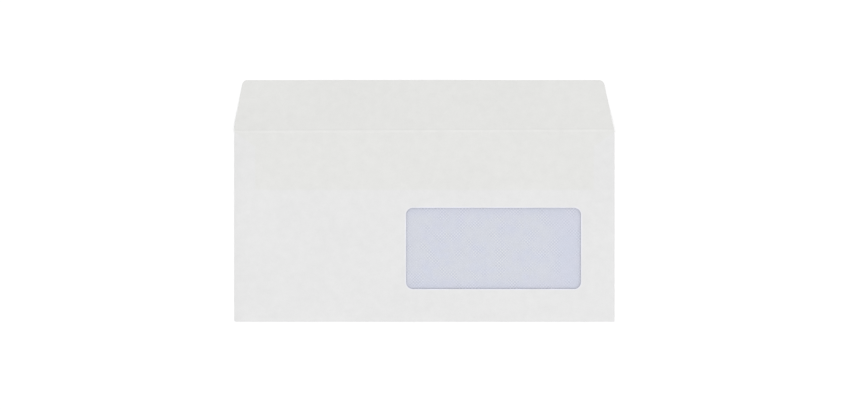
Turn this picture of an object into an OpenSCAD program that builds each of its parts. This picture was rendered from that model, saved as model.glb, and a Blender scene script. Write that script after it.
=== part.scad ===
// Window envelope, folded from one die-cut sheet of white paper, lying on its back with the flap open.
// X runs along the long edge, Y from the bottom fold to the tip of the flap, Z up off the table.
// The origin is the middle of the bounding box, on the table.

/* [Envelope] */
// Width of the body, between its two side folds
body_w = 220; // [180:1:330]
// Height of the body, from the bottom fold to the fold of the top flap
body_h = 110; // [100:1:230]
// Thickness of the paper
paper_t = 0.1; // [0.08:0.01:0.2]
// Free height inside the pocket, between a side flap and the front panel
pocket_gap = 0.8; // [0.3:0.05:2]

/* [Top flap] */
// Height of the open top flap, from its fold to its tip
flap_h = 30; // [22:0.5:40]
// How much shorter the tip of the top flap is than the body, at each end
flap_inset = 5.6; // [0:0.1:20]
// Radius of the two corners at the tip of the top flap
flap_corner_r = 3; // [1:0.25:8]
// Height of the square shoulder between the fold and the slanted end of the top flap
flap_shoulder = 1.4; // [0.6:0.1:4]
// Width of the pressed crease at the top fold
crease_w = 0.9; // [0.4:0.1:2]
// Height that the pressed crease stands out of the front panel
crease_h = 0.06; // [0.02:0.01:0.15]

/* [Side flaps] */
// Width of each side flap, from the side fold to its inner edge
side_flap_w = 12; // [9:0.5:20]
// How far the upper end of a side flap is cut back at its inner edge
side_top_cut = 8.6; // [2:0.1:14]
// How far the lower end of a side flap is cut back at its inner edge
side_foot_cut = 3; // [0.5:0.1:8]
// Radius of the two inner corners of a side flap
side_corner_r = 2; // [0.5:0.25:4]

/* [Back panel] */
// Distance from the top fold down to the upper edge of the back panel
throat_drop = 33.6; // [25:0.1:50]
// How much narrower the back panel is than the body, at each side
back_inset = 1; // [0.5:0.1:2]
// How much shorter the bottom fold is than the body is wide, at each end
bottom_fold_inset = 0.1; // [0.05:0.05:0.5]
// Height over which the back panel narrows from the bottom fold
back_taper_h = 4; // [2:0.5:10]
// Height of the seal flap, which is folded down over the outside of the back panel
seal_flap_h = 20; // [18:0.5:30]
// How much shorter the free edge of the seal flap is than its fold, at each end
seal_flap_inset = 7; // [1:0.5:20]
// Radius of the two free corners of the seal flap
seal_corner_r = 4; // [1:0.5:8]
// Gap between the seal flap and the back panel
seal_gap = 0.06; // [0.05:0.01:0.2]
// Gap between one cut edge and the next at the four corners of the body
corner_relief = 0.05; // [0.05:0.05:0.5]

/* [Window] */
// Width of the window
window_w = 101.5; // [60:0.5:120]
// Height of the window
window_h = 47; // [25:0.5:60]
// Radius of the window corners
window_r = 4; // [1:0.25:10]
// Distance from the window to the right side fold
window_right = 19.3; // [15:0.1:30]
// Distance from the window to the bottom fold
window_bottom = 19; // [12:0.1:25]

/* [Window film] */
// Thickness of the clear film
film_t = 0.03; // [0.02:0.005:0.06]
// How far the film laps behind the paper all round the window
film_lap = 7; // [4:0.5:10]
// Radius of the corners of the film
film_corner_r = 1; // [0.5:0.25:3]

/* [Adhesives] */
// Thickness of every glue line
glue_t = 0.03; // [0.02:0.005:0.05]
// Bare strip between the edge of the window and the glue round it
window_glue_setback = 1; // [0.5:0.1:2]
// Bare strip between the edge of the film and the glue under it
film_edge_bare = 1; // [0.5:0.1:2]
// Bare strip between the inner edge of a side flap and its glue line
side_glue_setback = 1.5; // [0.5:0.25:3]
// Bare strip at each end of a side glue line
side_glue_end = 6; // [2:0.5:12]
// Bare strip between the edge of the back panel and the glue line
back_edge_bare = 1; // [0.5:0.25:3]
// Thickness of the dried seal strips
gum_t = 0.02; // [0.01:0.005:0.04]
// Width of each seal strip
gum_w = 11; // [6:0.5:14]
// Distance from the tip of the top flap to its seal strip
gum_edge = 3; // [2:0.25:4]
// Distance from the end of the flap tip to the end of a seal strip
gum_end = 6; // [4:0.5:20]
// Radius of the corners of a seal strip
gum_corner_r = 1.5; // [0.5:0.25:2.5]

/* [Inner print] */
// Thickness of the printed colour on the inside
print_t = 0.01; // [0.005:0.005:0.02]
// Bare strip round each printed field
print_edge = 0.5; // [0.25:0.25:2]
// Bare strip between the printed field and the upper edge of the back panel
print_throat_bare = 2; // [1:0.5:6]

/* [Hidden] */
$fn = 64;

// A straight stretch of each bend that lies inside the panel it joins, so that the two are one sheet
lap = 1;
// How far a cutting shape stands past what it cuts
over = 1;

// Levels of the layers, from the table up
back_z = paper_t + seal_gap;
side_z = back_z + paper_t + glue_t;
front_z = side_z + paper_t + pocket_gap;
front_top = front_z + paper_t;
film_z = front_z - glue_t - film_t;

// Outer radius of each bend, half the height between the outsides of the two layers that it joins
bottom_bend_r = (front_top - back_z) / 2;
side_bend_r = (front_top - side_z) / 2;
throat_bend_r = (back_z + paper_t) / 2;

// Places along Y
flap_run = sqrt(flap_h * flap_h - front_z * front_z);
tip_y = (body_h + flap_run) / 2;
bottom_y = -tip_y;
fold_y = bottom_y + body_h;
throat_y = fold_y - throat_drop;
seal_tip_y = throat_y - seal_flap_h;

// Half widths along X
half_w = body_w / 2;
flap_tip_half = half_w - flap_inset;
front_half = half_w - side_bend_r;
back_half = half_w - back_inset;
bottom_fold_half = half_w - bottom_fold_inset;
side_inner_x = half_w - side_flap_w;

// The window, by its centre
window_x = half_w - window_right - window_w / 2;
window_y = bottom_y + window_bottom + window_h / 2;

// The seal strips, which meet when the top flap is folded over
gum_half = flap_tip_half - gum_end;
gum_y = tip_y - gum_edge - gum_w / 2;
gum_to_fold = gum_y - fold_y;
seal_gum_y = throat_y - (throat_drop - gum_to_fold);

// Height of the underside of the sloping top flap at a place along Y
function flap_z(y) = front_z * (tip_y - y) / (tip_y - fold_y);

function unit(v) = v / norm(v);
// Interior angle at corner b of the outline a, b, c
function corner_angle(a, b, c) = acos(unit(a - b) * unit(c - b));
// Where an arc of radius r at corner b touches its two sides, or the corner itself if r is 0
function corner_points(a, b, c, r) =
  r > 0
    ? [for (q = [a, c]) b + unit(q - b) * r / tan(corner_angle(a, b, c) / 2)]
    : [b];
// Centre of that arc
function arc_centre(a, b, c, r) = b + unit(unit(a - b) + unit(c - b)) * r / sin(corner_angle(a, b, c) / 2);

// A convex outline with a radius for each corner, where 0 leaves the corner sharp
module rounded_outline(points, radii) {
  count = len(points);
  before = [for (i = [0 : count - 1]) points[(i + count - 1) % count]];
  after = [for (i = [0 : count - 1]) points[(i + 1) % count]];
  polygon([for (i = [0 : count - 1]) each corner_points(before[i], points[i], after[i], radii[i])]);
  for (i = [0 : count - 1])
    if (radii[i] > 0)
      translate(arc_centre(before[i], points[i], after[i], radii[i]))
        circle(radii[i]);
}

// A rectangle with round corners about its own centre
module rounded_rect(w, h, r) {
  square([w - 2 * r, h], center = true);
  square([w, h - 2 * r], center = true);
  for (x = [-1, 1])
    for (y = [-1, 1])
      translate([x * (w / 2 - r), y * (h / 2 - r)])
        circle(r);
}

// Extrudes a section drawn in Y and Z along the whole width
module along_x() {
  rotate([90, 0, 90])
    linear_extrude(body_w + 2 * over, center = true)
      children();
}

// Extrudes a section drawn in X and Z along the whole height
module along_y() {
  rotate([90, 0, 0])
    linear_extrude(2 * tip_y + 2 * over, center = true)
      children();
}

// Cuts a sheet to an outline drawn in plan
module cut_to_plan() {
  intersection() {
    children(0);
    translate([0, 0, -over])
      linear_extrude(front_top + crease_h + 2 * over)
        children(1);
  }
}

// Section of a half turn of paper that bulges towards +X about the origin, with its two laps
module bend_section(r) {
  difference() {
    union() {
      circle(r);
      translate([-lap, -r])
        square([lap, 2 * r]);
    }
    circle(r - paper_t);
    translate([-lap - over, -(r - paper_t)])
      square([lap + over, 2 * (r - paper_t)]);
    translate([-lap - over, -r - over])
      square([over, 2 * r + 2 * over]);
  }
}

// Front panel, crease and top flap: one sheet seen from the side, 10 corners
module front_section() {
  crease_end = fold_y + crease_w / 2;
  under = [
    [bottom_y + bottom_bend_r, front_z],
    [fold_y - crease_w / 2, front_z],
    [fold_y, front_z + crease_h],
    [crease_end, flap_z(crease_end)],
    [tip_y, 0]
  ];
  last = len(under) - 1;
  polygon(concat(under, [for (i = [0 : last]) under[last - i] + [0, paper_t]]));
}

module front_plan() {
  translate([-front_half, bottom_y])
    square([2 * front_half, body_h]);
}

module flap_plan() {
  right = [
    [half_w, fold_y],
    [half_w, fold_y + flap_shoulder],
    [flap_tip_half, tip_y]
  ];
  left = [for (i = [2 : -1 : 0]) [-right[i][0], right[i][1]]];
  rounded_outline(concat(right, left), [0, 0, flap_corner_r, flap_corner_r, 0, 0]);
}

module window_plan(grow, r) {
  translate([window_x, window_y])
    rounded_rect(window_w + 2 * grow, window_h + 2 * grow, r);
}

// The front panel with its window, and the top flap sloping down to the table
module front_and_flap() {
  difference() {
    cut_to_plan() {
      along_x()
        front_section();
      union() {
        front_plan();
        flap_plan();
      }
    }
    linear_extrude(front_top + over)
      window_plan(0, window_r);
  }
}

// The bottom fold and the back panel
module back_section() {
  translate([bottom_y + bottom_bend_r, back_z + bottom_bend_r])
    mirror([1, 0])
      bend_section(bottom_bend_r);
  translate([bottom_y + bottom_bend_r, back_z])
    square([throat_y - throat_bend_r - bottom_y - bottom_bend_r, paper_t]);
}

module back_plan() {
  fold_end_y = bottom_y + bottom_bend_r;
  right = [
    [bottom_fold_half, bottom_y - over],
    [bottom_fold_half, fold_end_y],
    [front_half, fold_end_y],
    [back_half, bottom_y + back_taper_h],
    [back_half, throat_y]
  ];
  last = len(right) - 1;
  polygon(concat(right, [for (i = [last : -1 : 0]) [-right[i][0], right[i][1]]]));
}

// The fold at the throat and the seal flap that lies on the table under the back panel
module seal_section() {
  translate([throat_y - throat_bend_r, throat_bend_r])
    bend_section(throat_bend_r);
  translate([seal_tip_y, 0])
    square([throat_y - throat_bend_r - seal_tip_y, paper_t]);
}

module seal_plan() {
  seal_tip_half = back_half - seal_flap_inset;
  rounded_outline(
    [
      [back_half, throat_y + over],
      [back_half, throat_y - throat_bend_r - lap],
      [seal_tip_half, seal_tip_y],
      [-seal_tip_half, seal_tip_y],
      [-back_half, throat_y - throat_bend_r - lap],
      [-back_half, throat_y + over]
    ],
    [0, 0, seal_corner_r, seal_corner_r, 0, 0]
  );
}

// A side fold and the side flap behind the front panel, on the right
module side_section() {
  translate([half_w - side_bend_r, side_z + side_bend_r])
    bend_section(side_bend_r);
  translate([side_inner_x, side_z])
    square([side_flap_w - side_bend_r, paper_t]);
}

module side_plan(shrink) {
  top = fold_y - corner_relief - shrink;
  foot = bottom_y + bottom_bend_r + corner_relief + shrink;
  outer = half_w + over;
  inner = side_inner_x + shrink;
  rounded_outline(
    [
      [outer, foot],
      [outer, top],
      [half_w, top],
      [inner, top - side_top_cut],
      [inner, foot + side_foot_cut],
      [half_w, foot]
    ],
    [0, 0, 0, side_corner_r, side_corner_r, 0]
  );
}

module side_flap() {
  cut_to_plan() {
    along_y()
      side_section();
    side_plan(0);
  }
}

// The folded sheet
module envelope_paper() {
  color("#e9e9e7")
    union() {
      front_and_flap();
      cut_to_plan() {
        along_x()
          back_section();
        back_plan();
      }
      cut_to_plan() {
        along_x()
          seal_section();
        seal_plan();
      }
      side_flap();
      mirror([1, 0, 0])
        side_flap();
    }
}

// The clear film behind the window
module window_film() {
  color("#dfe6ee", 0.35)
    translate([0, 0, film_z])
      linear_extrude(film_t)
        window_plan(film_lap, film_corner_r);
}

// The glue between the film and the front panel, a closed frame round the window
module window_glue() {
  color("#e4e0d4")
    translate([0, 0, film_z + film_t])
      linear_extrude(glue_t)
        difference() {
          window_plan(film_lap - film_edge_bare, film_corner_r);
          window_plan(window_glue_setback, window_r + window_glue_setback);
        }
}

// The glue line that holds the back panel to the right side flap
module side_glue() {
  inner_x = side_inner_x + side_glue_setback;
  outer_x = back_half - back_edge_bare;
  foot_y = bottom_y + back_taper_h + side_glue_end;
  top_y = throat_y - side_glue_end;
  color("#e4e0d4")
    translate([inner_x, foot_y, back_z + paper_t])
      cube([outer_x - inner_x, top_y - foot_y, glue_t]);
}

module side_glue_right() {
  side_glue();
}

module side_glue_left() {
  mirror([1, 0, 0])
    side_glue();
}

module gum_plan(y) {
  translate([0, y])
    rounded_rect(2 * gum_half, gum_w, gum_corner_r);
}

// The dry seal strip on the inner side of the top flap, which faces the table
module flap_gum() {
  from_y = gum_y - gum_w / 2 - over;
  to_y = gum_y + gum_w / 2 + over;
  color("#e6dfc4")
    cut_to_plan() {
      along_x()
        polygon([
          [from_y, flap_z(from_y)],
          [to_y, flap_z(to_y)],
          [to_y, flap_z(to_y) - gum_t],
          [from_y, flap_z(from_y) - gum_t]
        ]);
      gum_plan(gum_y);
    }
}

// The dry seal strip on the seal flap, shut between that flap and the back panel
module seal_gum() {
  color("#e6dfc4")
    translate([0, 0, paper_t])
      linear_extrude(gum_t)
        gum_plan(seal_gum_y);
}

// The right side flap's printed face
module side_print() {
  translate([0, 0, side_z + paper_t])
    linear_extrude(print_t)
      intersection() {
        side_plan(print_edge);
        translate([0, bottom_y])
          square([front_half - print_edge, body_h]);
      }
}

// The blue tint printed inside, on the back panel and on both side flaps
module inner_print() {
  foot_y = bottom_y + bottom_bend_r + print_edge;
  field_half = side_inner_x - print_edge;
  color("#c4cbdf") {
    translate([-field_half, foot_y, back_z + paper_t])
      cube([2 * field_half, throat_y - print_throat_bare - foot_y, print_t]);
    side_print();
    mirror([1, 0, 0])
      side_print();
  }
}

envelope_paper();
window_film();
window_glue();
side_glue_left();
side_glue_right();
flap_gum();
seal_gum();
inner_print();
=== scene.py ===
import math

import bmesh
import bpy
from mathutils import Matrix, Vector


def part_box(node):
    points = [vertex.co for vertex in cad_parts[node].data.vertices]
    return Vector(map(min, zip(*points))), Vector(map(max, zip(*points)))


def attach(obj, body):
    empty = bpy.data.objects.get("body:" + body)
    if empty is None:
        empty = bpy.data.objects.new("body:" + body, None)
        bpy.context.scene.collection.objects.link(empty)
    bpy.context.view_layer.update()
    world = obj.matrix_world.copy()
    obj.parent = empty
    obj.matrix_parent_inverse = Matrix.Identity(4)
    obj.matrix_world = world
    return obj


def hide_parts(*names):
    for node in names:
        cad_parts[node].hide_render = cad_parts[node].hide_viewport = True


bl_info = {
    "name": "Window Envelope",
    "version": (1, 0, 0),
    "blender": (4, 5, 0),
    "location": "View3D > Sidebar > Envelope",
    "description": "Folds, prints and glues a long window envelope round its packed frame, and lights it",
    "category": "Object",
}

MM = 0.001
BODY = "root"

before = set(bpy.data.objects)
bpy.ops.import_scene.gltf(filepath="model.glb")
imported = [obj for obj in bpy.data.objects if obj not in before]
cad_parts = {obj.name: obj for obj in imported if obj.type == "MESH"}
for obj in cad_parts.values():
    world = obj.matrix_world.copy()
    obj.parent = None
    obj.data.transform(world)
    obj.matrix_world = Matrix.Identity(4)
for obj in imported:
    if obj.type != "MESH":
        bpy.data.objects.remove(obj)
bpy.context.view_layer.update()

PAPER_LOW, PAPER_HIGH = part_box("envelope_paper")
FILM_LOW, FILM_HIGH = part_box("window_film")
FILM_GLUE_LOW, FILM_GLUE_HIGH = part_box("window_glue")
SIDE_GLUE_LOW, SIDE_GLUE_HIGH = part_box("side_glue_right")
FLAP_GUM_LOW, FLAP_GUM_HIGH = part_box("flap_gum")
SEAL_GUM_LOW, SEAL_GUM_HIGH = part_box("seal_gum")
FILM_MIDDLE = (FILM_LOW + FILM_HIGH) / 2
FILM_HALF = (FILM_HIGH - FILM_LOW) / 2


def hex_colour(code):
    """Linear colour of an sRGB hex value."""
    parts = [int(code[i : i + 2], 16) / 255 for i in (1, 3, 5)]
    linear = [p / 12.92 if p <= 0.04045 else ((p + 0.055) / 1.055) ** 2.4 for p in parts]
    return (*linear, 1.0)


def length(name, description, size_mm):
    """A length property that shows in the units of the scene."""
    size = size_mm * MM
    return bpy.props.FloatProperty(
        name=name, description=description, default=size, min=0.0, unit="LENGTH", precision=5
    )


def tint(name, description, code):
    """A colour property with its default as sRGB hex."""
    colour = hex_colour(code)
    return bpy.props.FloatVectorProperty(
        name=name, description=description, default=colour, size=4, min=0.0, max=1.0, subtype="COLOR"
    )


class EnvelopeSizes(bpy.types.PropertyGroup):
    """Sizes of the cut and folded sheet that its box doesn't give."""

    body_height: length("Body height", "From the bottom fold to the fold of the top flap", 110)
    flap_inset_left: length("Flap inset, left", "How far the left end narrows to the flap tip", 4.85)
    flap_inset_right: length("Flap inset, right", "How far the right end narrows to the flap tip", 6.35)
    flap_shoulder_left: length("Flap shoulder, left", "Square part of the left end, by its fold", 3.1)
    flap_shoulder_right: length("Flap shoulder, right", "Square part of the right end, by its fold", 0.1)
    flap_corner: length("Flap corner", "Radius of the corners at the flap tip", 3)
    crease_width: length("Crease width", "Width of the pressed crease at the top fold", 0.9)
    crease_rise: length("Crease rise", "How much nearer the flap tip the crease runs at the right", 0.8)
    side_width: length("Side flap width", "From the side fold to the inner edge of a side flap", 12)
    side_top_cut: length("Side flap top cut", "How far the upper end of a side flap is cut back", 8.6)
    side_foot_cut: length("Side flap foot cut", "How far the lower end of a side flap is cut back", 3)
    side_corner: length("Side flap corner", "Radius of the inner corners of a side flap", 2)
    throat_drop: length("Throat", "From the top fold down to the edge of the back panel", 33.6)
    back_inset: length("Back inset", "How much narrower the back panel is than the body, at each side", 1)
    bottom_fold_inset: length("Bottom fold inset", "How much shorter the bottom fold is, at each end", 0.1)
    back_taper: length("Back taper", "Height over which the back panel narrows from the bottom fold", 4)
    corner_gap: length("Corner gap", "Gap between the cut edges at each corner of the body", 0.05)
    seal_height: length("Seal flap height", "Height of the flap that is folded down over the back", 20)
    seal_inset: length("Seal flap inset", "How much shorter the seal flap's free edge is, at each end", 7)
    seal_corner: length("Seal flap corner", "Radius of the free corners of the seal flap", 4)
    window_corner: length("Window corner", "Radius of the corners of the window", 4)
    window_trim: length("Window trim", "How much shorter the window is cut than planned, at each end", 0.1)
    film_lap: length("Film lap", "How far the film laps behind the paper round the window", 7)
    film_corner: length("Film corner", "Radius of the corners of the film", 1)
    glue_setback: length("Glue setback", "Bare strip between the window's edge and the glue", 1)
    gum_corner: length("Gum corner", "Radius of the corners of a seal strip", 1.5)
    cockle: length("Cockle", "How far the front panel dips between its folds", 0.16)
    flap_curl: length("Flap curl", "How far the tip of the flap lifts off the table in places", 0.18)
    film_ripple: length("Film ripple", "How far the film ripples in its window", 0.05)
    show_through_blur: length("Show-through blur", "How far paper blurs the edge of a layer behind it", 1.1)
    # width of the painted highlight where the window's cut edge catches the light
    rim_highlight_width: length("Edge lift", "Width of the loosened fibres along the window's cut edge", 0.9)
    # how far the painted shade along the window's edges and at its right end reaches, and how far left of the
    # window's middle the pale part lies
    edge_shade_across: length("Fade, sideways", "How far from the window's ends the print is fully faded", 16)
    edge_shade_up: length("Fade, up", "How far from the window's long edges the print is fully faded", 7)
    pale_middle_shift: length("Fade shift", "How far left of the window's middle the fading lies", 8)


class EnvelopeColours(bpy.types.PropertyGroup):
    """Colours of the paper, the print and the adhesives."""

    flap: tint("Open flap", "Paper of the top flap, with nothing behind it", "#E4E4E2")
    single: tint("Single sheet", "Paper of the front panel above the throat", "#E5E5E3")
    over_side: tint("Over a side flap", "Paper with a printed side flap behind it", "#E6E6E6")
    double: tint("Double sheet", "Paper with the printed back panel behind it", "#E7E7E7")
    back: tint("Back panel", "Outside of the back panel, with its print showing through", "#E4E5E9")
    # painted highlight where the window's cut edge catches the light
    edge: tint("Cut edge", "Loosened fibres along the window's cut edge", "#F3F4FF")
    # painted highlight on the ridge of the top fold, and painted shade just above it, added to the shading
    # that the ridge's own shape gets
    crease: tint("Crease", "Stretched fibres on the ridge of the top fold", "#EBEBE9")
    crease_painted_shade: tint("Beside the crease", "Pressed line above the ridge of the top fold", "#E1E1DF")
    ink: tint("Ink", "Lines of the print inside", "#C5C9DA")
    ground: tint("Ground", "Paper between the printed lines", "#E0E4F1")
    ground_violet: tint("Warmer ground", "Paper between the lines where the ink lies thick", "#E4E5F1")
    # paler, less blue ground in random patches of the window's middle; where it is missing, along the edges
    # and at the right end, the darker ground is painted shade
    ground_pale_unshaded: tint("Faded ground", "Paper between the lines where light has reached it", "#E8EAED")
    film: tint("Film", "Haze of the clear film", "#EEF2FA")
    gum: tint("Seal strip", "Dried seal strip", "#E6E4DC")
    glue: tint("Glue", "Glue line", "#E2DFD4")


# The plan of the folded sheet, and where its layers lie

# how near a point counts as lying on the line of a fold
ON_LINE = 1e-6
# share of the cockle that the front panel has all along, then its waves: share, length of one radian,
# radians that it leans from the bottom to the top, and radians that it starts at
PANEL_DIP = 0.55
PANEL_WAVES = ((0.3, 21 * MM, 2.1, 0.6), (0.15, 9 * MM, -3.2, 0.0))
# share of the curl that the flap has all along, then its waves: share, length of one radian, and start
FLAP_LIFT = 0.5
FLAP_WAVES = ((0.32, 26 * MM, 1.9), (0.18, 11 * MM, 0.4))


class Plan:
    """Places and levels of the folded sheet, from its packed box and the named sizes."""

    def __init__(self, sizes):
        self.sizes = sizes
        self.thick = SEAL_GUM_LOW.z
        self.half = PAPER_HIGH.x
        self.low, self.tip = PAPER_LOW.y, PAPER_HIGH.y
        self.fold = self.low + sizes.body_height
        self.throat = self.fold - sizes.throat_drop
        self.seal_tip = self.throat - sizes.seal_height
        self.side_inner = self.half - sizes.side_width
        self.back_half = self.half - sizes.back_inset
        # middles of the layers, from the table up
        half_thick = self.thick / 2
        self.seal_level = half_thick
        self.back_level = SIDE_GLUE_LOW.z - half_thick
        self.side_level = SIDE_GLUE_HIGH.z + half_thick
        self.front_level = FILM_GLUE_HIGH.z + half_thick
        self.crease_height = PAPER_HIGH.z - self.front_level - half_thick
        # radius of the middle of the sheet in each bend
        self.bottom_r = (self.front_level - self.back_level) / 2
        self.side_r = (self.front_level - self.side_level) / 2
        self.throat_r = (self.back_level - self.seal_level) / 2
        # where each bend starts
        self.side_bend = self.half - self.side_r - half_thick
        self.bottom_bend = self.low + self.bottom_r + half_thick
        self.throat_bend = self.throat - self.throat_r - half_thick
        self.flap_drop = self.front_level - self.seal_level
        self.crease_slope = sizes.crease_rise / (2 * self.half)

    def across_bottom(self, y):
        """Where a place on the back panel lies on the flat blank."""
        return self.bottom_bend - math.pi * self.bottom_r - (y - self.bottom_bend)

    def across_throat(self, y):
        """Where a place on the seal flap lies on the flat blank."""
        return self.across_bottom(self.throat_bend) - math.pi * self.throat_r - (self.throat_bend - y)

    def across_side(self, x):
        """Where a place on the right side flap lies on the flat blank."""
        return self.side_bend + math.pi * self.side_r + (self.side_bend - x)

    def dip(self, x, y):
        """Height that the front panel and the flap stray from flat, nothing at the folds."""
        if y <= self.fold:
            up = min(1.0, max(0.0, (y - self.low) / (self.fold - self.low)))
            held = math.sin(math.pi * up) * (1 - (x / self.half) ** 4)
            swell = PANEL_DIP
            for share, wave, lean, start in PANEL_WAVES:
                swell += share * math.sin(x / wave + lean * up + start)
            return -self.sizes.cockle * held * swell
        out = (y - self.fold) / (self.tip - self.fold)
        lift = FLAP_LIFT
        for share, wave, start in FLAP_WAVES:
            lift += share * math.sin(x / wave + start)
        return self.sizes.flap_curl * out * out * lift

    def crease(self, x, y):
        """Height of the rounded ridge along the top fold."""
        reach = self.sizes.crease_width / 2
        away = abs(y - self.fold - self.crease_slope * x)
        if away >= reach:
            return 0.0
        return self.crease_height * math.cos(math.pi / 2 * away / reach) ** 2

    def folded(self, x, y, lift):
        """A point of the flat blank, lift above the middle of the sheet, where the folds take it."""
        if y < self.bottom_bend + ON_LINE:
            return self.round_bottom(x, y, lift)
        if abs(x) > self.side_bend and y <= self.fold:
            return self.round_side(x, y, lift)
        sink = self.flap_drop * max(0.0, y - self.fold) / (self.tip - self.fold)
        return Vector((x, y, self.front_level - sink + lift + self.crease(x, y) + self.dip(x, y)))

    def round_side(self, x, y, lift):
        """The bend of a side fold, and the side flap beyond it."""
        gone = abs(x) - self.side_bend
        turn = min(math.pi, gone / self.side_r)
        reach = self.side_r + lift
        past = max(0.0, gone - math.pi * self.side_r)
        out = self.side_bend + reach * math.sin(turn) - past
        return Vector((math.copysign(out, x), y, self.front_level - self.side_r + reach * math.cos(turn)))

    def round_bottom(self, x, y, lift):
        """The bottom fold, the back panel, the fold at the throat and the seal flap."""
        gone = self.bottom_bend - y
        bend = math.pi * self.bottom_r
        if gone < bend:
            turn = gone / self.bottom_r
            reach = self.bottom_r + lift
            height = self.front_level - self.bottom_r + reach * math.cos(turn)
            return Vector((x, self.bottom_bend - reach * math.sin(turn), height))
        run = self.bottom_bend + gone - bend
        if run < self.throat_bend:
            return Vector((x, run, self.back_level - lift))
        past = run - self.throat_bend
        turn = min(math.pi, past / self.throat_r)
        reach = self.throat_r - lift
        beyond = max(0.0, past - math.pi * self.throat_r)
        place = self.throat_bend + reach * math.sin(turn) - beyond
        return Vector((x, place, self.back_level - self.throat_r + reach * math.cos(turn)))

    def flap_outline(self, side, inset, shoulder):
        """One end of the top flap: x, y and corner radius, from the tip to the fold."""
        return [
            (side * (self.half - inset), self.tip, self.sizes.flap_corner),
            (side * self.half, self.fold + shoulder, 0),
            (side * self.half, self.fold, 0),
        ]

    def blank_outline(self):
        """The flat blank, all round from the flap tip: x, y and corner radius."""
        sizes = self.sizes
        right = self.flap_outline(1, sizes.flap_inset_right, sizes.flap_shoulder_right)
        left = self.flap_outline(-1, sizes.flap_inset_left, sizes.flap_shoulder_left)
        below = self.body_outline()
        return right + below + [(-x, y, radius) for x, y, radius in reversed(below)] + left[::-1]

    def body_outline(self):
        """Right half of the blank below the top fold, down to the seal flap: x, y and corner radius."""
        sizes = self.sizes
        side_top = self.fold - sizes.corner_gap
        side_foot = self.bottom_bend + sizes.corner_gap
        side_edge = self.side_bend + math.pi / 2 * self.side_r
        foot_half = self.half - sizes.bottom_fold_inset
        return [
            (self.side_bend, side_top, 0),
            (side_edge, side_top - sizes.corner_gap, 0),
            (self.across_side(self.side_inner), side_top - sizes.side_top_cut, sizes.side_corner),
            (self.across_side(self.side_inner), side_foot + sizes.side_foot_cut, sizes.side_corner),
            (side_edge, side_foot, 0),
            (self.side_bend, side_foot, 0),
            (foot_half, self.bottom_bend, 0),
            (foot_half, self.bottom_bend - math.pi * self.bottom_r, 0),
            (self.back_half, self.across_bottom(self.low + sizes.back_taper), 0),
            (self.back_half, self.across_throat(self.throat_bend), 0),
            (self.back_half - sizes.seal_inset, self.across_throat(self.seal_tip), sizes.seal_corner),
        ]

    def window_distance(self):
        """Vector steps from a place to its distance from the middles of the window's corners."""
        inset = self.sizes.film_lap + self.sizes.window_corner
        return (
            ("SUBTRACT", (FILM_MIDDLE.x, FILM_MIDDLE.y, 0)),
            ("ABSOLUTE", (0, 0, 0)),
            ("SUBTRACT", (FILM_HALF.x - inset, FILM_HALF.y - inset, self.half)),
            ("MAXIMUM", (0, 0, 0)),
            ("LENGTH", (0, 0, 0)),
        )

    def window_outline(self, grow, corner, trim=0.0):
        """A round-cornered rectangle, larger than the window by grow, and shorter by trim at each end."""
        lap = self.sizes.film_lap - grow
        end = lap + trim
        return rectangle(FILM_LOW.x + end, FILM_LOW.y + lap, FILM_HIGH.x - end, FILM_HIGH.y - lap, corner)


def rectangle(left, low, right, high, corner):
    """The corners of a rectangle: x, y and corner radius."""
    return [(left, low, corner), (right, low, corner), (right, high, corner), (left, high, corner)]


# Sheets cut flat, then folded

CORNER_SEGMENTS = 8
BEND_STEPS = 8
# spacing of the cuts that let a flat part stray from flat
PANEL_GRID = 4 * MM
FINE_GRID = 3 * MM
# how near a cut counts as passing through a point, and how near two points count as one
ON_CUT = 1e-7
SAME_POINT = 3e-6
# faces within the first angle of each other are joined, and edges past the second stay sharp
FLAT_ANGLE = math.radians(1)
SHARP_ANGLE = math.radians(40)


def rounded_face(bm, outline):
    """A flat face with the corners of outline, each rounded to its own radius."""
    face = bm.faces.new([bm.verts.new((x, y, 0)) for x, y, _ in outline])
    count = len(outline)
    sharp = list(face.verts)
    for i, (x, y, radius) in enumerate(outline):
        if not radius:
            continue
        before = Vector(outline[i - 1][:2]) - Vector((x, y))
        after = Vector(outline[(i + 1) % count][:2]) - Vector((x, y))
        bmesh.ops.bevel(
            bm,
            geom=[sharp[i]],
            offset=radius / math.tan(before.angle(after) / 2),
            offset_type="OFFSET",
            segments=CORNER_SEGMENTS,
            profile=0.5,
            affect="VERTICES",
            material=-1,
        )


def cut_along(bm, axis, places):
    """Cuts the flat sheet straight across at each place along an axis."""
    normal = Vector((1, 0, 0)) if axis == "x" else Vector((0, 1, 0))
    for place in places:
        bmesh.ops.bisect_plane(
            bm,
            geom=bm.verts[:] + bm.edges[:] + bm.faces[:],
            dist=ON_CUT,
            plane_co=normal * place,
            plane_no=normal,
        )


def spaced(start, end, step):
    """Places at about step apart between two ends, which are left out."""
    count = max(1, round((end - start) / step))
    return [start + (end - start) * i / count for i in range(1, count)]


def grid(low, high, across, up):
    """Cuts both ways over a box, at about the two spacings."""
    return [("x", spaced(low.x, high.x, across)), ("y", spaced(low.y, high.y, up))]


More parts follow.
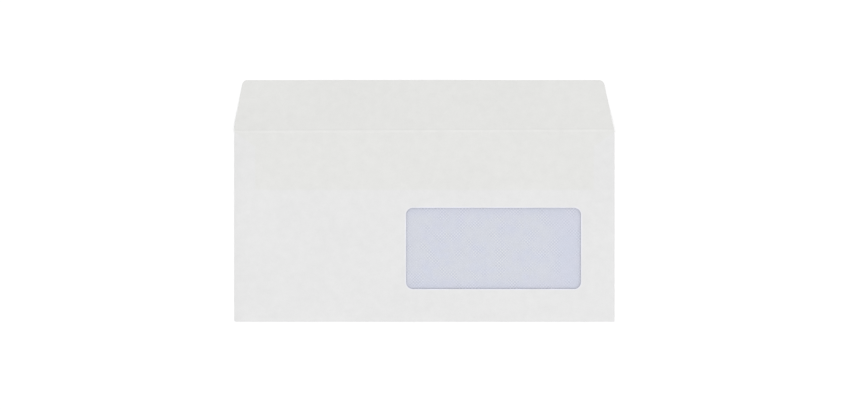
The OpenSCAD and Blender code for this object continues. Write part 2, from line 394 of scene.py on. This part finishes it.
def sheet_piece(name, outlines, cuts, low, high, place):
    """A closed sheet: outlines filled, later ones as holes, cut as a grid, given its two faces and placed."""
    bm = bmesh.new()
    for outline in outlines:
        rounded_face(bm, outline)
    bmesh.ops.delete(bm, geom=bm.faces[:], context="FACES_ONLY")
    bmesh.ops.triangle_fill(bm, use_beauty=True, edges=bm.edges[:])
    bmesh.ops.dissolve_limit(bm, angle_limit=FLAT_ANGLE, verts=bm.verts[:], edges=bm.edges[:])
    for axis, places in cuts:
        cut_along(bm, axis, places)
    bmesh.ops.remove_doubles(bm, verts=bm.verts[:], dist=SAME_POINT)
    raised = bmesh.ops.extrude_face_region(bm, geom=bm.faces[:])["geom"]
    upper = [item for item in raised if isinstance(item, bmesh.types.BMVert)]
    bmesh.ops.translate(bm, vec=(0, 0, high - low), verts=upper)
    for vert in bm.verts:
        vert.co = place(vert.co.x, vert.co.y, vert.co.z + low)
    bmesh.ops.recalc_face_normals(bm, faces=bm.faces[:])
    for face in bm.faces:
        face.smooth = True
    for edge in bm.edges:
        edge.smooth = len(edge.link_faces) != 2 or edge.calc_face_angle() < SHARP_ANGLE
    mesh = bpy.data.meshes.new(name)
    bm.to_mesh(mesh)
    bm.free()
    piece = bpy.data.objects.new(name, mesh)
    bpy.context.scene.collection.objects.link(piece)
    return piece


def settle(piece, node, material):
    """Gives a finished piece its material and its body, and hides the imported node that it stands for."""
    piece.data.materials.append(material)
    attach(piece, BODY)
    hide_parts(node)


def dress(node, material):
    """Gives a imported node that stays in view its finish."""
    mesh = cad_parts[node].data
    mesh.materials.clear()
    mesh.materials.append(material)


# Materials

# the ridge of the crease, where a highlight is painted, and the line beside it where shade is painted,
# measured from the top fold towards the flap's tip
RIDGE_OFF = 0.35 * MM
CREASE_SHADE_OFF = 1.4 * MM
# how wide the painted shade line is, as a share of the crease, and how wide the patches are where the painted
# highlights and shade are stronger
CREASE_SHADE_SHARE = 0.8
PAINTED_LIGHT_PATCH_WIDTH = 14 * MM
# where the back panel begins above the folded seal flap, in thicknesses of the sheet from the table
CLEAR_OF_TABLE = 1.3
# clouds of thicker and thinner pulp, each with its width and share: wide ones, and two of the usual ones
PULP_CLOUDS = ((40 * MM, 0.3), (5 * MM, 0.5), (2 * MM, 0.2))
# wood fibres are 2 mm long and 0.03 mm wide, too fine to show, and the few that do are drawn 0.25 mm wide
FIBRE_LENGTH = 2 * MM
FIBRE_WIDTH = 0.25 * MM
# the ways in which they lie, in degrees, and how far one changes the paper's shade and its tooth
FIBRE_TURNS = (15, 75, 135)
FIBRE_SHADE = -0.016
FIBRE_TOOTH = 0.4
# the tooth of the paper is about 0.1 mm across, too fine to show, and drawn at 0.35 mm
TOOTH_WIDTH = 0.35 * MM
TOOTH_HEIGHT = 0.02 * MM
# real printed lines are about 0.4 mm apart, too fine to show, and drawn 1.3 mm apart
LINE_PITCH = 1.3 * MM
LINE_TURN = math.radians(45)
# how much of the ground the ink covers where its lines run together
INK_COVER = 0.45
# the ink is crisp in patches this wide, bleached in others and thick in others again, and finely speckled
CRISP_WIDTH = 8 * MM
LIT_WIDTH = 12 * MM
DRIFT_WIDTH = 13 * MM
SPECKLE_WIDTH = 3 * MM
# which of the noise's many patterns the bleached patches and the thicker ink follow
LIT_PATTERN = 13.6
DRIFT_PATTERN = 8.5
# shares of the light that the film mirrors straight on and that its haze scatters
FILM_MIRROR = 0.052
FILM_HAZE = 0.03
# the lines that the casting roll leaves on the film
ROLL_SPACING = 3 * MM
ROLL_LENGTH = 40 * MM
ROLL_HEIGHT = 0.01 * MM
# how many times longer than wide the streaks of an adhesive are, their height, and how far its gloss varies
STREAK_RATIO = 12
STREAK_HEIGHT = 0.02 * MM
STREAK_GLOSS = 0.08


def add(tree, kind, settings=None, inputs=None):
    """Adds a node, with its settings and what goes into its sockets: a value, or another node's output.

    A socket goes by its name or by its number. Mix has its share at 0, the numbers that it mixes at 2 and 3,
    and the colours at 6 and 7.
    """
    node = tree.nodes.new(kind)
    for name, value in (settings or {}).items():
        setattr(node, name, value)
    for key, value in (inputs or {}).items():
        if isinstance(value, bpy.types.NodeSocket):
            tree.links.new(value, node.inputs[key])
        else:
            node.inputs[key].default_value = value
    return node


def new_material(name):
    """An empty node material."""
    material = bpy.data.materials.new(name)
    material.use_nodes = True
    material.node_tree.nodes.clear()
    return material, material.node_tree


def paper_layers(tree, place, plan, colours):
    """The paper's colour, from what lies behind it, with a painted highlight and painted shade at its crease
    and a painted highlight along the window's cut edge.
    """
    sizes = plan.sizes
    parts = add(tree, "ShaderNodeSeparateXYZ", inputs={0: place})
    up = parts.outputs["Y"]
    height = parts.outputs["Z"]
    across = add(tree, "ShaderNodeMath", {"operation": "ABSOLUTE"}, {0: parts.outputs["X"]}).outputs[0]
    # level lines along the slanted upper edge of the side flaps
    slope = sizes.side_top_cut / sizes.side_width
    slant = add(
        tree, "ShaderNodeMath", {"operation": "MULTIPLY_ADD"}, {0: across, 1: -slope, 2: up}
    ).outputs[0]
    slant_edge = plan.fold - slope * plan.half
    # distances from the ridge of the crease, from the painted shade line beside it, and from the window
    along = add(
        tree,
        "ShaderNodeMath",
        {"operation": "MULTIPLY_ADD"},
        {0: parts.outputs["X"], 1: -plan.crease_slope, 2: up},
    ).outputs[0]
    lines = []
    for offset in (RIDGE_OFF, CREASE_SHADE_OFF):
        line = add(tree, "ShaderNodeMath", {"operation": "SUBTRACT"}, {0: along, 1: plan.fold + offset})
        lines.append(add(tree, "ShaderNodeMath", {"operation": "ABSOLUTE"}, {0: line.outputs[0]}).outputs[0])
    window = place
    for operation, value in plan.window_distance():
        node = add(tree, "ShaderNodeVectorMath", {"operation": operation}, {0: window, 1: value})
        window = node.outputs["Value" if operation == "LENGTH" else "Vector"]
    # each soft edge runs from nothing at its first place to full at its second
    blur = sizes.show_through_blur
    corner = sizes.window_corner
    edges = {
        "on_flap": (up, plan.fold, plan.fold + CREASE_SHADE_OFF),
        "behind_back": (up, plan.throat + blur, plan.throat - blur),
        "beside": (across, plan.side_inner - blur / 2, plan.side_inner + blur / 2),
        "below_slant": (slant, slant_edge + blur / 2, slant_edge - blur / 2),
        "low": (height, plan.back_level + plan.thick, plan.back_level + plan.thick / 2),
        "off_table": (height, plan.thick, plan.thick * CLEAR_OF_TABLE),
        "high": (height, plan.side_level + plan.thick, plan.side_level + plan.thick * 2),
        "ridge": (lines[0], sizes.crease_width, 0.0),
        "pressed": (lines[1], sizes.crease_width * CREASE_SHADE_SHARE, 0.0),
        "rim": (window, corner + sizes.rim_highlight_width, corner),
    }
    soft = {
        name: add(
            tree,
            "ShaderNodeMapRange",
            {"interpolation_type": "SMOOTHSTEP"},
            {"Value": value, "From Min": start, "From Max": end},
        ).outputs[0]
        for name, (value, start, end) in edges.items()
    }
    # the painted highlights and shade of the crease, and the painted highlight round the window, are stronger
    # in some places than in others
    painted_light_strength = add(
        tree,
        "ShaderNodeTexNoise",
        inputs={"Vector": place, "Scale": 1 / PAINTED_LIGHT_PATCH_WIDTH, "Detail": 2.0, "Roughness": 0.6},
    ).outputs["Fac"]
    soft["painted_light_strength"] = add(
        tree, "ShaderNodeMapRange", inputs={"Value": painted_light_strength, "From Min": 0.35, "From Max": 0.65, "To Min": 0.4}
    ).outputs[0]
    # each colour lies over the ones before it, as far as the product of its soft edges goes
    layers = (
        (colours.flap, ("on_flap",)),
        (colours.over_side, ("beside", "below_slant")),
        (colours.double, ("behind_back",)),
        (colours.back, ("behind_back", "low", "off_table")),
        # painted shade just above the crease's ridge, then a painted highlight on the ridge
        (colours.crease_painted_shade, ("pressed", "painted_light_strength")),
        (colours.crease, ("ridge", "painted_light_strength")),
        # a painted highlight along the window's cut edge, on the top face of the front only
        (colours.edge, ("rim", "high", "painted_light_strength")),
    )
    tone = tuple(colours.single)
    for colour, factors in layers:
        share = soft[factors[0]]
        for factor in factors[1:]:
            share = add(
                tree, "ShaderNodeMath", {"operation": "MULTIPLY"}, {0: share, 1: soft[factor]}
            ).outputs[0]
        over = {0: share, 6: tone, 7: tuple(colour)}
        tone = add(tree, "ShaderNodeMix", {"data_type": "RGBA"}, over).outputs[2]
    return tone


def paper_material(plan, colours):
    """Uncoated wove paper, rolled: matt, faintly cloudy, and a little darker where it lies single."""
    material, tree = new_material("Wove paper, rolled and uncoated")
    place = add(tree, "ShaderNodeTexCoord").outputs["Object"]
    tone = paper_layers(tree, place, plan, colours)
    pulp = 0.0
    for width, share in PULP_CLOUDS:
        cloud = add(
            tree,
            "ShaderNodeTexNoise",
            inputs={"Vector": place, "Scale": 1 / width, "Detail": 2.0, "Roughness": 0.5},
        ).outputs["Fac"]
        pulp = add(
            tree, "ShaderNodeMath", {"operation": "MULTIPLY_ADD"}, {0: cloud, 1: share, 2: pulp}
        ).outputs[0]
    shade = add(
        tree,
        "ShaderNodeMapRange",
        inputs={"Value": pulp, "From Min": 0.25, "From Max": 0.75, "To Min": 0.973, "To Max": 1.037},
    ).outputs[0]
    tooth = 0.0
    for turn in FIBRE_TURNS:
        laid = add(
            tree,
            "ShaderNodeMapping",
            {"vector_type": "TEXTURE"},
            {
                "Vector": place,
                "Rotation": (0, 0, math.radians(turn)),
                "Scale": (FIBRE_LENGTH, FIBRE_WIDTH, FIBRE_LENGTH),
            },
        ).outputs[0]
        fibre = add(
            tree, "ShaderNodeTexNoise", inputs={"Vector": laid, "Scale": 1.0, "Detail": 2.0}
        ).outputs["Fac"]
        fibre = add(
            tree, "ShaderNodeMapRange", inputs={"Value": fibre, "From Min": 0.54, "From Max": 0.72}
        ).outputs[0]
        shade = add(
            tree, "ShaderNodeMath", {"operation": "MULTIPLY_ADD"}, {0: fibre, 1: FIBRE_SHADE, 2: shade}
        ).outputs[0]
        tooth = add(
            tree, "ShaderNodeMath", {"operation": "MULTIPLY_ADD"}, {0: fibre, 1: FIBRE_TOOTH, 2: tooth}
        ).outputs[0]
    colour = add(tree, "ShaderNodeVectorMath", {"operation": "SCALE"}, {0: tone, "Scale": shade}).outputs[0]
    grain = add(
        tree,
        "ShaderNodeTexNoise",
        inputs={"Vector": place, "Scale": 1 / TOOTH_WIDTH, "Detail": 3.0, "Roughness": 0.6},
    ).outputs["Fac"]
    tooth = add(tree, "ShaderNodeMath", {"operation": "ADD"}, {0: grain, 1: tooth}).outputs[0]
    normal = add(
        tree, "ShaderNodeBump", inputs={"Strength": 0.8, "Distance": TOOTH_HEIGHT, "Height": tooth}
    ).outputs[0]
    rough = add(
        tree,
        "ShaderNodeMapRange",
        inputs={"Value": grain, "From Min": 0.3, "From Max": 0.7, "To Min": 0.84, "To Max": 0.94},
    ).outputs[0]
    shader = add(
        tree,
        "ShaderNodeBsdfPrincipled",
        inputs={
            "Base Color": colour,
            "Roughness": rough,
            "IOR": 1.45,
            "Specular IOR Level": 0.2,
            "Normal": normal,
        },
    ).outputs[0]
    add(tree, "ShaderNodeOutputMaterial", inputs={0: shader})
    return material


def printed_lines(tree, place):
    """How much ink covers a place: slanted lines both ways, crisp in patches and faint between them."""
    turned = add(
        tree,
        "ShaderNodeMapping",
        inputs={"Vector": place, "Rotation": (0, 0, LINE_TURN), "Scale": (1 / LINE_PITCH,) * 3},
    ).outputs[0]
    lines = add(tree, "ShaderNodeSeparateXYZ", inputs={0: turned})
    waves = [
        add(tree, "ShaderNodeMath", {"operation": "PINGPONG"}, {0: lines.outputs[axis], 1: 0.5}).outputs[0]
        for axis in ("X", "Y")
    ]
    nearest = add(tree, "ShaderNodeMath", {"operation": "MINIMUM"}, {0: waves[0], 1: waves[1]}).outputs[0]
    inked = add(
        tree,
        "ShaderNodeMapRange",
        {"interpolation_type": "SMOOTHSTEP"},
        {"Value": nearest, "From Min": 0.03, "From Max": 0.24, "To Min": 1.0, "To Max": 0.0},
    ).outputs[0]
    crisp = add(
        tree,
        "ShaderNodeTexNoise",
        inputs={"Vector": place, "Scale": 1 / CRISP_WIDTH, "Detail": 1.0, "Roughness": 0.5},
    ).outputs["Fac"]
    crisp = add(
        tree,
        "ShaderNodeMapRange",
        inputs={"Value": crisp, "From Min": 0.5, "From Max": 0.62, "To Min": 0.12, "To Max": 0.8},
    ).outputs[0]
    blend = {0: crisp, 2: INK_COVER, 3: inked}
    return add(tree, "ShaderNodeMix", {"data_type": "FLOAT"}, blend).outputs[0]


def print_clouds(tree, place, width, pattern, least, most):
    """Patches of a print, which begin where their noise passes least and are full where it reaches most."""
    cloud = add(
        tree,
        "ShaderNodeTexNoise",
        {"noise_dimensions": "4D"},
        {"Vector": place, "W": pattern, "Scale": 1 / width, "Detail": 4.0, "Roughness": 0.65},
    ).outputs["Fac"]
    return add(
        tree, "ShaderNodeMapRange", inputs={"Value": cloud, "From Min": least, "From Max": most}
    ).outputs[0]


def print_material(plan, colours):
    """Security tint, offset printed: fine blue lines, which the eye mixes with the paper to a blue grey."""
    material, tree = new_material("Security tint, offset printed")
    sizes = plan.sizes
    place = add(tree, "ShaderNodeTexCoord").outputs["Object"]
    inked = printed_lines(tree, place)
    # the ground is paler in random patches in the window, but not along its edges or at its right end, where
    # it stays darker and bluer: painted shade, for the shade near the window's rims and across its right end
    away = add(
        tree,
        "ShaderNodeVectorMath",
        {"operation": "SUBTRACT"},
        {0: place, 1: (FILM_MIDDLE.x - sizes.pale_middle_shift, FILM_MIDDLE.y, 0)},
    ).outputs[0]
    away = add(tree, "ShaderNodeVectorMath", {"operation": "ABSOLUTE"}, {0: away}).outputs[0]
    sides = add(tree, "ShaderNodeSeparateXYZ", inputs={0: away})
    lit = print_clouds(tree, place, LIT_WIDTH, LIT_PATTERN, least=0.36, most=0.56)
    for axis, reach, shade_band in (
        ("X", FILM_HALF.x - sizes.film_lap, sizes.edge_shade_across),
        ("Y", FILM_HALF.y - sizes.film_lap, sizes.edge_shade_up),
    ):
        within = add(
            tree,
            "ShaderNodeMapRange",
            {"interpolation_type": "SMOOTHSTEP"},
            {"Value": sides.outputs[axis], "From Min": reach, "From Max": reach - shade_band},
        ).outputs[0]
        lit = add(tree, "ShaderNodeMath", {"operation": "MULTIPLY"}, {0: lit, 1: within}).outputs[0]
    drift = print_clouds(tree, place, DRIFT_WIDTH, DRIFT_PATTERN, least=0.4, most=0.6)
    tone = tuple(colours.ground)
    for share, colour in (
        (drift, colours.ground_violet),
        (lit, colours.ground_pale_unshaded),
        (inked, colours.ink),
    ):
        over = {0: share, 6: tone, 7: tuple(colour)}
        tone = add(tree, "ShaderNodeMix", {"data_type": "RGBA"}, over).outputs[2]
    speckle = add(
        tree,
        "ShaderNodeTexNoise",
        inputs={"Vector": place, "Scale": 1 / SPECKLE_WIDTH, "Detail": 2.0, "Roughness": 0.6},
    ).outputs["Fac"]
    shade = add(
        tree,
        "ShaderNodeMapRange",
        inputs={"Value": speckle, "From Min": 0.3, "From Max": 0.7, "To Min": 0.98, "To Max": 1.02},
    ).outputs[0]
    colour = add(tree, "ShaderNodeVectorMath", {"operation": "SCALE"}, {0: tone, "Scale": shade}).outputs[0]
    shader = add(
        tree,
        "ShaderNodeBsdfPrincipled",
        inputs={"Base Color": colour, "Roughness": 0.8, "IOR": 1.5, "Specular IOR Level": 0.2},
    ).outputs[0]
    add(tree, "ShaderNodeOutputMaterial", inputs={0: shader})
    return material


def film_material(colours):
    """Clear polystyrene film, cast thin: nearly unseen from above, with a white sheen at low angles."""
    material, tree = new_material("Clear polystyrene film, cast")
    place = add(tree, "ShaderNodeTexCoord").outputs["Object"]
    drawn = add(
        tree,
        "ShaderNodeMapping",
        inputs={"Vector": place, "Scale": (1 / ROLL_SPACING, 1 / ROLL_LENGTH, 1 / ROLL_SPACING)},
    ).outputs[0]
    lines = add(
        tree, "ShaderNodeTexNoise", inputs={"Vector": drawn, "Scale": 1.0, "Detail": 2.0}
    ).outputs["Fac"]
    rough = add(
        tree,
        "ShaderNodeMapRange",
        inputs={"Value": lines, "From Min": 0.3, "From Max": 0.7, "To Min": 0.06, "To Max": 0.12},
    ).outputs[0]
    normal = add(
        tree, "ShaderNodeBump", inputs={"Strength": 0.3, "Distance": ROLL_HEIGHT, "Height": lines}
    ).outputs[0]
    # Schlick's curve for an IOR of 1.59, the same from both sides of the film
    facing = add(tree, "ShaderNodeLayerWeight", inputs={"Blend": 0.5}).outputs["Facing"]
    grazing = add(tree, "ShaderNodeMath", {"operation": "POWER"}, {0: facing, 1: 5.0}).outputs[0]
    mirrored = add(
        tree,
        "ShaderNodeMath",
        {"operation": "MULTIPLY_ADD"},
        {0: grazing, 1: 1 - FILM_MIRROR, 2: FILM_MIRROR},
    ).outputs[0]
    clear = add(tree, "ShaderNodeBsdfTransparent", inputs={"Color": (1, 1, 1, 1)}).outputs[0]
    haze = add(tree, "ShaderNodeBsdfDiffuse", inputs={"Color": tuple(colours.film)}).outputs[0]
    gloss = add(tree, "ShaderNodeBsdfGlossy", inputs={"Roughness": rough, "Normal": normal}).outputs[0]
    body = add(tree, "ShaderNodeMixShader", inputs={0: FILM_HAZE, 1: clear, 2: haze}).outputs[0]
    shader = add(tree, "ShaderNodeMixShader", inputs={0: mirrored, 1: body, 2: gloss}).outputs[0]
    # the little light that it keeps from what lies behind comes back through the paper round it
    shadow = add(tree, "ShaderNodeLightPath").outputs["Is Shadow Ray"]
    shader = add(tree, "ShaderNodeMixShader", inputs={0: shadow, 1: shader, 2: clear}).outputs[0]
    add(tree, "ShaderNodeOutputMaterial", inputs={0: shader})
    return material


def strip_material(name, colour, roughness, streak_mm):
    """Adhesive laid as a liquid and dried: a satin skin with streaks along its length."""
    material, tree = new_material(name)
    place = add(tree, "ShaderNodeTexCoord").outputs["Object"]
    width = streak_mm * MM
    drawn = add(
        tree,
        "ShaderNodeMapping",
        inputs={"Vector": place, "Scale": (1 / (STREAK_RATIO * width), 1 / width, 1 / width)},
    ).outputs[0]
    streaks = add(
        tree, "ShaderNodeTexNoise", inputs={"Vector": drawn, "Scale": 1.0, "Detail": 3.0}
    ).outputs["Fac"]
    shade = add(
        tree,
        "ShaderNodeMapRange",
        inputs={"Value": streaks, "From Min": 0.3, "From Max": 0.7, "To Min": 0.98, "To Max": 1.015},
    ).outputs[0]
    tone = add(
        tree, "ShaderNodeVectorMath", {"operation": "SCALE"}, {0: tuple(colour)[:3], "Scale": shade}
    ).outputs[0]
    rough = add(
        tree,
        "ShaderNodeMapRange",
        inputs={
            "Value": streaks,
            "From Min": 0.3,
            "From Max": 0.7,
            "To Min": roughness - STREAK_GLOSS,
            "To Max": roughness + STREAK_GLOSS,
        },
    ).outputs[0]
    normal = add(
        tree, "ShaderNodeBump", inputs={"Strength": 0.4, "Distance": STREAK_HEIGHT, "Height": streaks}
    ).outputs[0]
    shader = add(
        tree,
        "ShaderNodeBsdfPrincipled",
        inputs={"Base Color": tone, "Roughness": rough, "IOR": 1.5, "Normal": normal},
    ).outputs[0]
    add(tree, "ShaderNodeOutputMaterial", inputs={0: shader})
    return material


# Pieces

# the film's ripple: the length of one radian, how many radians it wanders, and the length of one of those
RIPPLE_LENGTH = 7 * MM
RIPPLE_WANDER = 0.8
WANDER_LENGTH = 13 * MM


class ENVELOPE_OT_fold_paper(bpy.types.Operator):
    """Cut the blank with its window and fold it into the envelope"""

    bl_idname = "envelope.fold_paper"
    bl_label = "Fold the Paper"

    def execute(self, context):
        sizes = context.scene.envelope_sizes
        plan = Plan(sizes)
        turns = [math.pi * i / BEND_STEPS for i in range(BEND_STEPS + 1)]
        side_bends = [plan.side_bend + plan.side_r * turn for turn in turns]
        bottom_bends = [plan.bottom_bend - plan.bottom_r * turn for turn in turns]
        throat_start = plan.across_bottom(plan.throat_bend)
        throat_bends = [throat_start - plan.throat_r * turn for turn in turns]
        crease_step = sizes.crease_width / BEND_STEPS
        creases = [plan.fold + crease_step * i for i in range(-BEND_STEPS, BEND_STEPS + 1)]
        cuts = [
            ("x", side_bends + [-x for x in side_bends]),
            ("y", bottom_bends + throat_bends + creases),
            ("x", spaced(-plan.side_bend, plan.side_bend, PANEL_GRID)),
            ("y", spaced(plan.bottom_bend, creases[0], PANEL_GRID)),
            ("y", spaced(creases[-1], plan.tip, FINE_GRID)),
        ]
        half_thick = plan.thick / 2
        outlines = [
            plan.blank_outline(),
            plan.window_outline(0, sizes.window_corner, sizes.window_trim),
        ]
        piece = sheet_piece("folded_sheet", outlines, cuts, -half_thick, half_thick, plan.folded)
        settle(piece, "envelope_paper", paper_material(plan, context.scene.envelope_colours))
        return {"FINISHED"}


class ENVELOPE_OT_fit_window(bpy.types.Operator):
    """Glue the clear film behind the window"""

    bl_idname = "envelope.fit_window"
    bl_label = "Fit the Window"

    def execute(self, context):
        sizes, colours = context.scene.envelope_sizes, context.scene.envelope_colours
        plan = Plan(sizes)
        cuts = grid(FILM_LOW, FILM_HIGH, FINE_GRID, FINE_GRID)

        def on_front(x, y, z):
            return plan.folded(x, y, z - plan.front_level)

        def behind_front(x, y, z):
            point = on_front(x, y, z)
            free_x = max(0.0, 1 - ((x - FILM_MIDDLE.x) / FILM_HALF.x) ** 4)
            free_y = max(0.0, 1 - ((y - FILM_MIDDLE.y) / FILM_HALF.y) ** 4)
            wander = RIPPLE_WANDER * math.sin(y / WANDER_LENGTH)
            wave = (1 + math.sin(x / RIPPLE_LENGTH + wander)) / 2
            point.z -= sizes.film_ripple * free_x * free_y * wave
            return point

        film_outline = plan.window_outline(sizes.film_lap, sizes.film_corner)
        film = sheet_piece("film_patch", [film_outline], cuts, FILM_LOW.z, FILM_HIGH.z, behind_front)
        settle(film, "window_film", film_material(colours))
        inner = sizes.glue_setback
        outer = sizes.film_lap - (FILM_GLUE_LOW.x - FILM_LOW.x)
        outlines = [
            plan.window_outline(outer, sizes.film_corner),
            plan.window_outline(inner, sizes.window_corner + inner),
        ]
        glue = sheet_piece("film_glue_line", outlines, cuts, FILM_GLUE_LOW.z, FILM_GLUE_HIGH.z, on_front)
        rolled = strip_material("Film glue, rolled on", colours.glue, roughness=0.45, streak_mm=0.6)
        settle(glue, "window_glue", rolled)
        return {"FINISHED"}


class ENVELOPE_OT_lay_adhesives(bpy.types.Operator):
    """Lay the seal strips and the glue lines of the side flaps"""

    bl_idname = "envelope.lay_adhesives"
    bl_label = "Lay the Adhesives"

    def execute(self, context):
        sizes, colours = context.scene.envelope_sizes, context.scene.envelope_colours
        plan = Plan(sizes)
        gum = strip_material("Seal strip, dried latex", colours.gum, roughness=0.4, streak_mm=0.9)
        low, high = FLAP_GUM_LOW, FLAP_GUM_HIGH
        outline = rectangle(low.x, low.y, high.x, high.y, sizes.gum_corner)
        cuts = grid(low, high, PANEL_GRID, FINE_GRID)
        gum_thick = SEAL_GUM_HIGH.z - SEAL_GUM_LOW.z
        under = -plan.thick / 2
        strip = sheet_piece("flap_seal_strip", [outline], cuts, under - gum_thick, under, plan.folded)
        settle(strip, "flap_gum", gum)
        glue = strip_material("Side seam glue, rolled on", colours.glue, roughness=0.5, streak_mm=0.6)
        for node, material in (("seal_gum", gum), ("side_glue_left", glue), ("side_glue_right", glue)):
            dress(node, material)
        return {"FINISHED"}


class ENVELOPE_OT_print_inside(bpy.types.Operator):
    """Print the blue tint on the inside of the envelope"""

    bl_idname = "envelope.print_inside"
    bl_label = "Print the Inside"

    def execute(self, context):
        plan = Plan(context.scene.envelope_sizes)
        dress("inner_print", print_material(plan, context.scene.envelope_colours))
        return {"FINISHED"}


# Stage: the light comes a little from the lower right of the picture, as the rims of the window show

FLOOR_SIZE = 3.0
FLOOR_DROP = 0.05 * MM
FLOOR_PAINT = "#EDEDED"
# the glow that takes the floor to full white for the eye
FLOOR_LIFT = 0.22
WORLD_STRENGTH = 0.826
# the key light in watts and metres
KEY_POWER = 33.0
KEY_SIZE = 2.5
KEY_PLACE = (0.7, -1.45, 3.5)

# the photograph is 854 by 410 pixels, and 1.7275 of them make a millimetre of the front panel
PHOTO_WIDTH_PX = 854
PX_PER_MM = 1.7275
LENS_MM = 100.0
SENSOR_MM = 36.0
VIEW_CENTRE = (1.45 * MM, -2.36 * MM)


def looked_at(tree):
    """1 for light that the eye sees, straight, mirrored or through something clear, and 0 for other light."""
    path = add(tree, "ShaderNodeLightPath")
    seen = path.outputs["Is Camera Ray"]
    for ray in ("Is Glossy Ray", "Is Transmission Ray"):
        seen = add(
            tree, "ShaderNodeMath", {"operation": "MAXIMUM"}, {0: seen, 1: path.outputs[ray]}
        ).outputs[0]
    return seen


def floor_material():
    """White painted board: pure white to the eye, and it still takes the shadow of what lies on it."""
    material, tree = new_material("White painted board")
    lift = add(
        tree, "ShaderNodeMath", {"operation": "MULTIPLY"}, {0: looked_at(tree), 1: FLOOR_LIFT}
    ).outputs[0]
    paint = add(tree, "ShaderNodeBsdfDiffuse", inputs={"Color": hex_colour(FLOOR_PAINT)}).outputs[0]
    glow = add(tree, "ShaderNodeEmission", inputs={"Color": (1, 1, 1, 1), "Strength": lift}).outputs[0]
    shader = add(tree, "ShaderNodeAddShader", inputs={0: paint, 1: glow}).outputs[0]
    add(tree, "ShaderNodeOutputMaterial", inputs={0: shader})
    return material


def soft_room():
    """A world of even white light, which the eye sees as pure white."""
    world = bpy.data.worlds.new("Soft room")
    world.use_nodes = True
    tree = world.node_tree
    tree.nodes.clear()
    strength = add(
        tree, "ShaderNodeMix", {"data_type": "FLOAT"}, {0: looked_at(tree), 2: WORLD_STRENGTH, 3: 1.0}
    ).outputs[0]
    room = add(
        tree, "ShaderNodeBackground", inputs={"Color": (1, 1, 1, 1), "Strength": strength}
    ).outputs[0]
    add(tree, "ShaderNodeOutputWorld", inputs={0: room})
    return world


class ENVELOPE_OT_set_stage(bpy.types.Operator):
    """Set the floor, the lights and the camera straight above the envelope"""

    bl_idname = "envelope.set_stage"
    bl_label = "Set the Stage"

    def execute(self, context):
        scene = context.scene
        bm = bmesh.new()
        bmesh.ops.create_grid(bm, x_segments=1, y_segments=1, size=FLOOR_SIZE / 2)
        bmesh.ops.translate(bm, vec=(0, 0, -FLOOR_DROP), verts=bm.verts[:])
        mesh = bpy.data.meshes.new("floor")
        bm.to_mesh(mesh)
        bm.free()
        floor = bpy.data.objects.new("floor", mesh)
        floor.data.materials.append(floor_material())
        scene.collection.objects.link(floor)

        scene.world = soft_room()
        key = bpy.data.lights.new("Key softbox", "AREA")
        key.shape = "SQUARE"
        key.size = KEY_SIZE
        key.energy = KEY_POWER
        lamp = bpy.data.objects.new("Key softbox", key)
        lamp.location = KEY_PLACE
        lamp.rotation_euler = (-Vector(KEY_PLACE)).to_track_quat("-Z", "Y").to_euler()
        scene.collection.objects.link(lamp)

        lens = bpy.data.cameras.new("Camera")
        lens.lens = LENS_MM
        lens.sensor_width = SENSOR_MM
        camera = bpy.data.objects.new("Camera", lens)
        distance = PHOTO_WIDTH_PX / PX_PER_MM * MM * LENS_MM / SENSOR_MM
        camera.location = (*VIEW_CENTRE, PAPER_HIGH.z + distance)
        scene.collection.objects.link(camera)
        scene.camera = camera
        scene.view_settings.view_transform = "Standard"
        return {"FINISHED"}


class ENVELOPE_PT_panel(bpy.types.Panel):
    """Sizes, colours and steps of the envelope"""

    bl_idname = "ENVELOPE_PT_panel"
    bl_label = "Window Envelope"
    bl_space_type = "VIEW_3D"
    bl_region_type = "UI"
    bl_category = "Envelope"

    def draw(self, context):
        layout = self.layout
        for step in STEPS:
            layout.operator(step.bl_idname)
        for group in (context.scene.envelope_sizes, context.scene.envelope_colours):
            box = layout.box()
            for name in group.__annotations__:
                box.prop(group, name)


STEPS = (
    ENVELOPE_OT_fold_paper,
    ENVELOPE_OT_fit_window,
    ENVELOPE_OT_lay_adhesives,
    ENVELOPE_OT_print_inside,
    ENVELOPE_OT_set_stage,
)
CLASSES = (EnvelopeSizes, EnvelopeColours, *STEPS, ENVELOPE_PT_panel)


def register():
    """Registers the classes and hangs the two groups of values on the scene."""
    for item in CLASSES:
        bpy.utils.register_class(item)
    bpy.types.Scene.envelope_sizes = bpy.props.PointerProperty(type=EnvelopeSizes)
    bpy.types.Scene.envelope_colours = bpy.props.PointerProperty(type=EnvelopeColours)


def unregister():
    """Takes the two groups of values and the classes away again."""
    del bpy.types.Scene.envelope_colours
    del bpy.types.Scene.envelope_sizes
    for item in reversed(CLASSES):
        bpy.utils.unregister_class(item)


def main():
    """Makes the envelope and its stage."""
    register()
    bpy.ops.envelope.fold_paper()
    bpy.ops.envelope.fit_window()
    bpy.ops.envelope.lay_adhesives()
    bpy.ops.envelope.print_inside()
    bpy.ops.envelope.set_stage()


if __name__ == "__main__":
    main()
